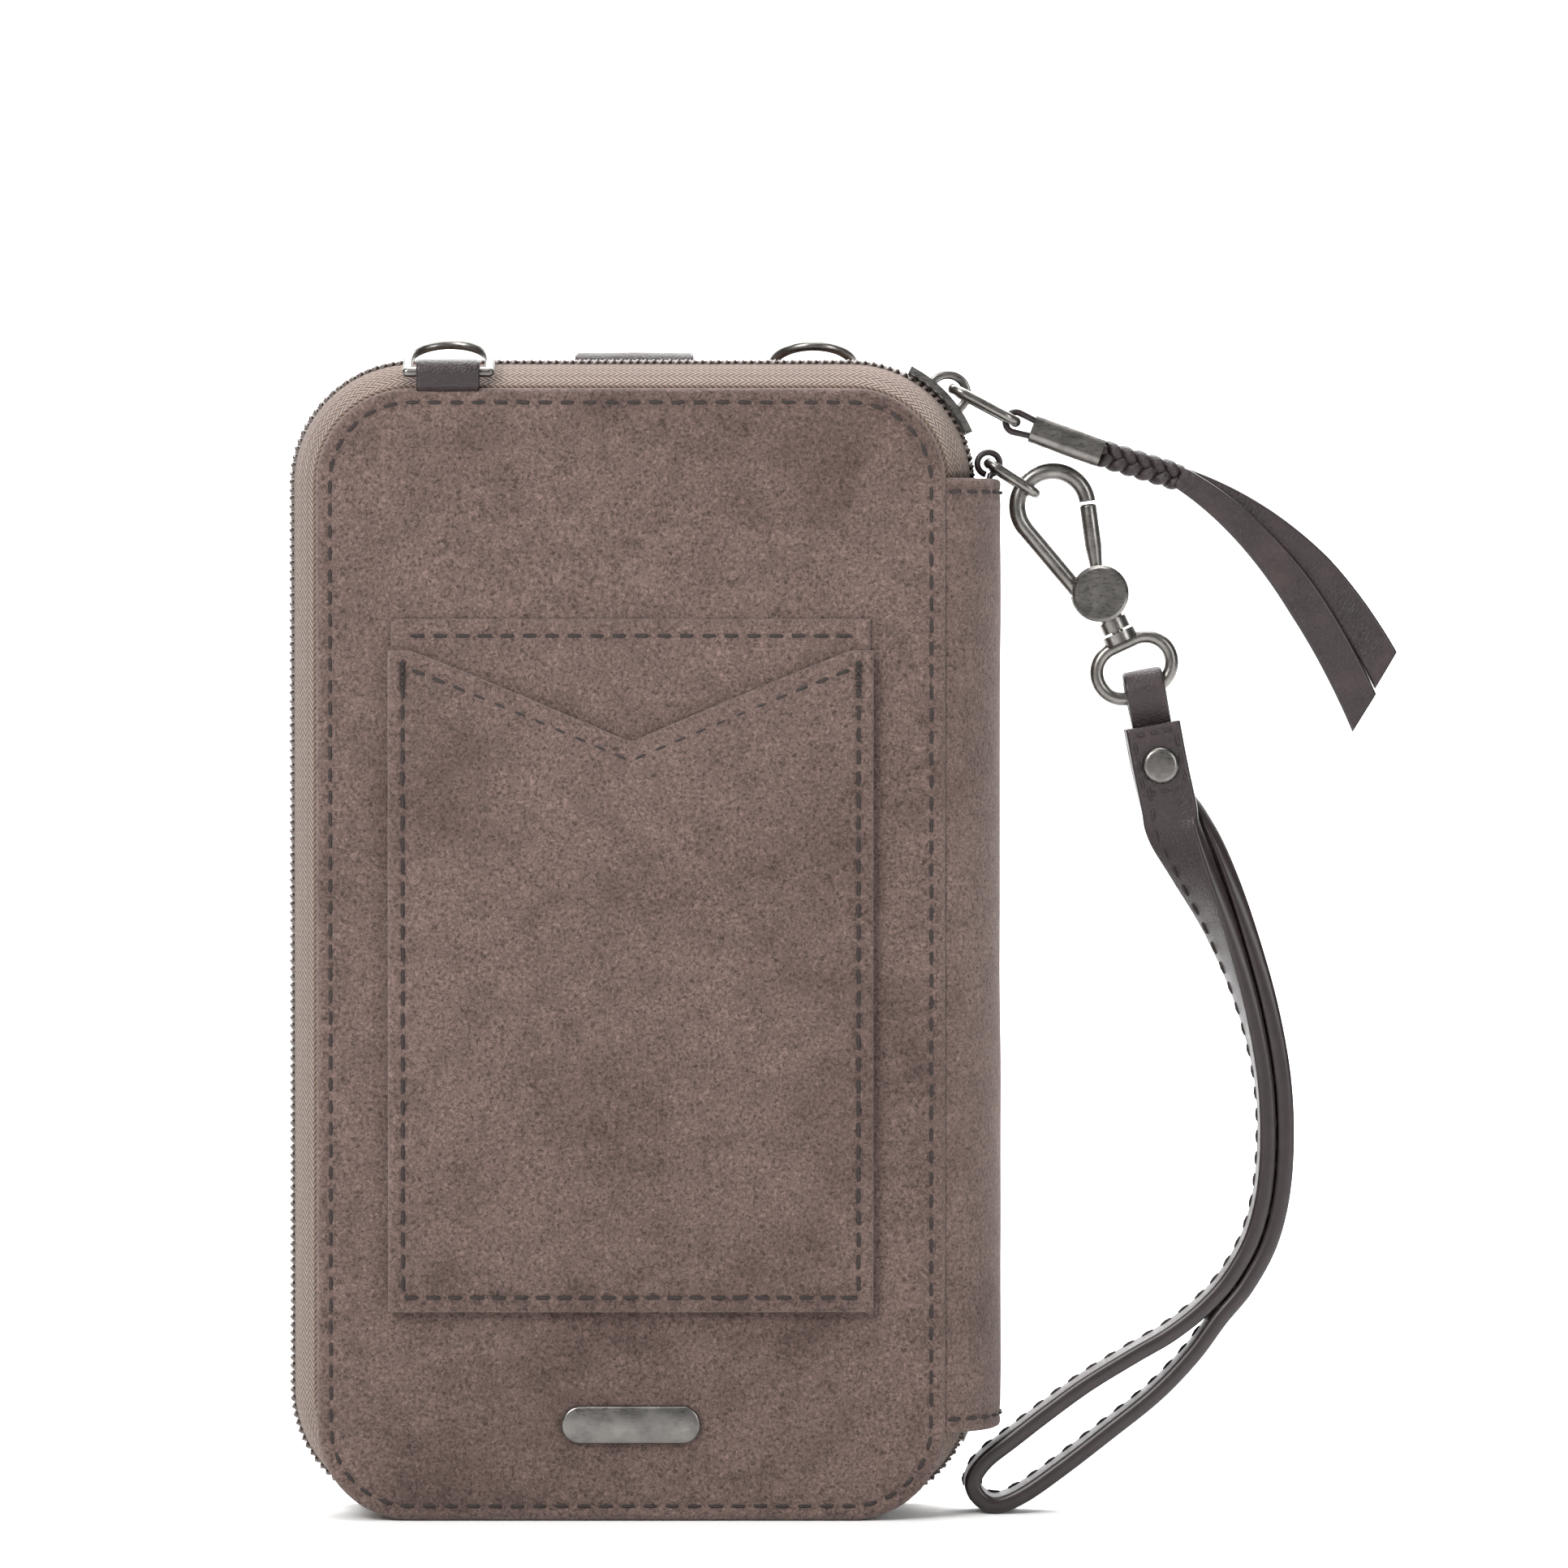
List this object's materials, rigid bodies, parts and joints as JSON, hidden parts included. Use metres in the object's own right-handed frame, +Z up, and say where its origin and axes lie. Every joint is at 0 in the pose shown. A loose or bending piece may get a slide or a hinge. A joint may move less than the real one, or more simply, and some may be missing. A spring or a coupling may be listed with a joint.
{
  "type": "wristlet wallet",
  "caption": "Zip-around suede phone wallet with a V-cut card pocket, folding spine, coin pocket, D-rings and a detachable leather wrist strap on a swivel snap hook.",
  "frame": {"origin": "middle of the wallet's base, on the surface it stands on", "axes": "+Z up along the covers, +X towards the folding spine and the strap, -Y out of the front cover"},
  "size_m": [0.1775, 0.0365, 0.1881],
  "materials": {
    "suede": "taupe suede nap",
    "leather": "dark oxblood pebbled leather with painted edges",
    "nickel": "antique brushed nickel",
    "zip_tape": "herringbone woven tape",
    "zip_coil": "polished nylon coil",
    "lining": "plain woven lining",
    "board": "stiffening board"
  },
  "bodies": {
    "back_half": {"back_panel": "suede", "back_board": "board", "back_lining": "lining", "phone_pocket": "suede", "pocket_snap_socket": "nickel", "tab_anchor": "leather", "back_wing": "suede", "back_zip_tape": "zip_tape", "back_zip_coil": "zip_coil", "rear_ring_tab": "leather", "coin_pocket": "lining", "coin_zip_tape": "zip_tape", "coin_zip_coil": "zip_coil", "zip_end_stop": "nickel"},
    "spine": {"spine_panel": "suede", "spine_stay": "board", "spine_lining": "lining", "strap_loop": "leather"},
    "front_half": {"front_panel": "suede", "front_board": "board", "front_lining": "lining", "card_pocket_slip": "suede", "card_pocket_front": "suede", "emblem_plate": "nickel", "front_wing": "suede", "front_zip_tape": "zip_tape", "front_zip_coil": "zip_coil", "front_ring_tab": "leather", "card_slot_lower": "leather", "card_slot_upper": "leather"},
    "front_ring": {"front_d_ring": "nickel"},
    "rear_ring": {"rear_d_ring": "nickel"},
    "tab": {"snap_tab": "leather", "tab_snap_stud": "nickel"},
    "coin_slider": {"coin_zip_slider": "nickel"},
    "slider": {"zip_slider": "nickel", "slider_bail": "nickel"},
    "pull_link": {"pull_ring": "nickel"},
    "pull": {"pull_thong": "leather", "pull_ferrule": "nickel", "pull_braid": "leather", "pull_tail_front": "leather", "pull_tail_rear": "leather"},
    "link": {"link_ring": "nickel"},
    "hook": {"hook_body": "nickel", "hook_caps": "nickel", "gate_pin": "nickel", "gate_spring": "nickel"},
    "gate": {"gate": "nickel"},
    "swivel": {"swivel_eye": "nickel"},
    "strap": {"wrist_strap": "leather", "strap_tab": "leather", "strap_rivet": "nickel"}
  },
  "joints": [
    {"name": "spine_fold", "type": "hinge", "parent": "back_half", "child": "spine", "pos_m": [0.055, 0.00983, 0.09], "axis": [0, 0, 1], "range_deg": [0, 55]},
    {"name": "cover_fold", "type": "hinge", "parent": "spine", "child": "front_half", "pos_m": [0.055, -0.00983, 0.09], "axis": [0, 0, 1], "range_deg": [0, 55]},
    {"name": "slider_travel", "type": "hinge", "parent": "back_half", "child": "slider", "pos_m": [0.035, 0, 0.165], "axis": [0, -1, 0], "range_deg": [0, 30]},
    {"name": "pull_link_swing", "type": "hinge", "parent": "slider", "child": "pull_link", "pos_m": [0.05138, 0, 0.18028], "axis": [0, -1, 0], "range_deg": [0, 60]},
    {"name": "pull_swing", "type": "hinge", "parent": "pull_link", "child": "pull", "pos_m": [0.06145, 0, 0.17492], "axis": [0, -1, 0], "range_deg": [0, 50]},
    {"name": "front_ring_swing", "type": "hinge", "parent": "front_half", "child": "front_ring", "pos_m": [-0.029, -0.0124, 0.18255], "axis": [1, 0, 0], "range_deg": [-3, 140]},
    {"name": "rear_ring_swing", "type": "hinge", "parent": "back_half", "child": "rear_ring", "pos_m": [0.029, 0.0124, 0.18255], "axis": [-1, 0, 0], "range_deg": [-3, 140]},
    {"name": "tab_flip", "type": "hinge", "parent": "back_half", "child": "tab", "pos_m": [0, 0.014, 0.1839], "axis": [1, 0, 0], "range_deg": [0, 140]},
    {"name": "coin_zip_travel", "type": "slide", "parent": "back_half", "child": "coin_slider", "axis": [-1, 0, 0], "range_m": [0, 0.05]},
    {"name": "link_swing", "type": "hinge", "parent": "spine", "child": "link", "pos_m": [0.0571, 0, 0.1683], "axis": [0, -1, 0], "range_deg": [0, 4]},
    {"name": "hook_tilt", "type": "hinge", "parent": "link", "child": "hook", "pos_m": [0.06456, 0, 0.16345], "axis": [0.8387, 0, -0.5446], "range_deg": [-25, 25]},
    {"name": "gate_swing", "type": "hinge", "parent": "hook", "child": "gate", "pos_m": [0.07496, 0, 0.14745], "axis": [0, -1, 0], "range_deg": [0, 22], "stiffness_Nm_per_rad": 0.02, "springref_deg": -17.19},
    {"name": "swivel_spin", "type": "hinge", "parent": "hook", "child": "swivel", "pos_m": [0.07496, 0, 0.14745], "axis": [0.4226, 0, -0.9063], "continuous": true},
    {"name": "strap_swing", "type": "hinge", "parent": "swivel", "child": "strap", "pos_m": [0.08228, 0, 0.13177], "axis": [0.9063, 0, 0.4226], "range_deg": [-25, 25]}
  ],
  "couplings": [
    {"joint": "cover_fold", "follows": "spine_fold", "ratio": 1}
  ]
}
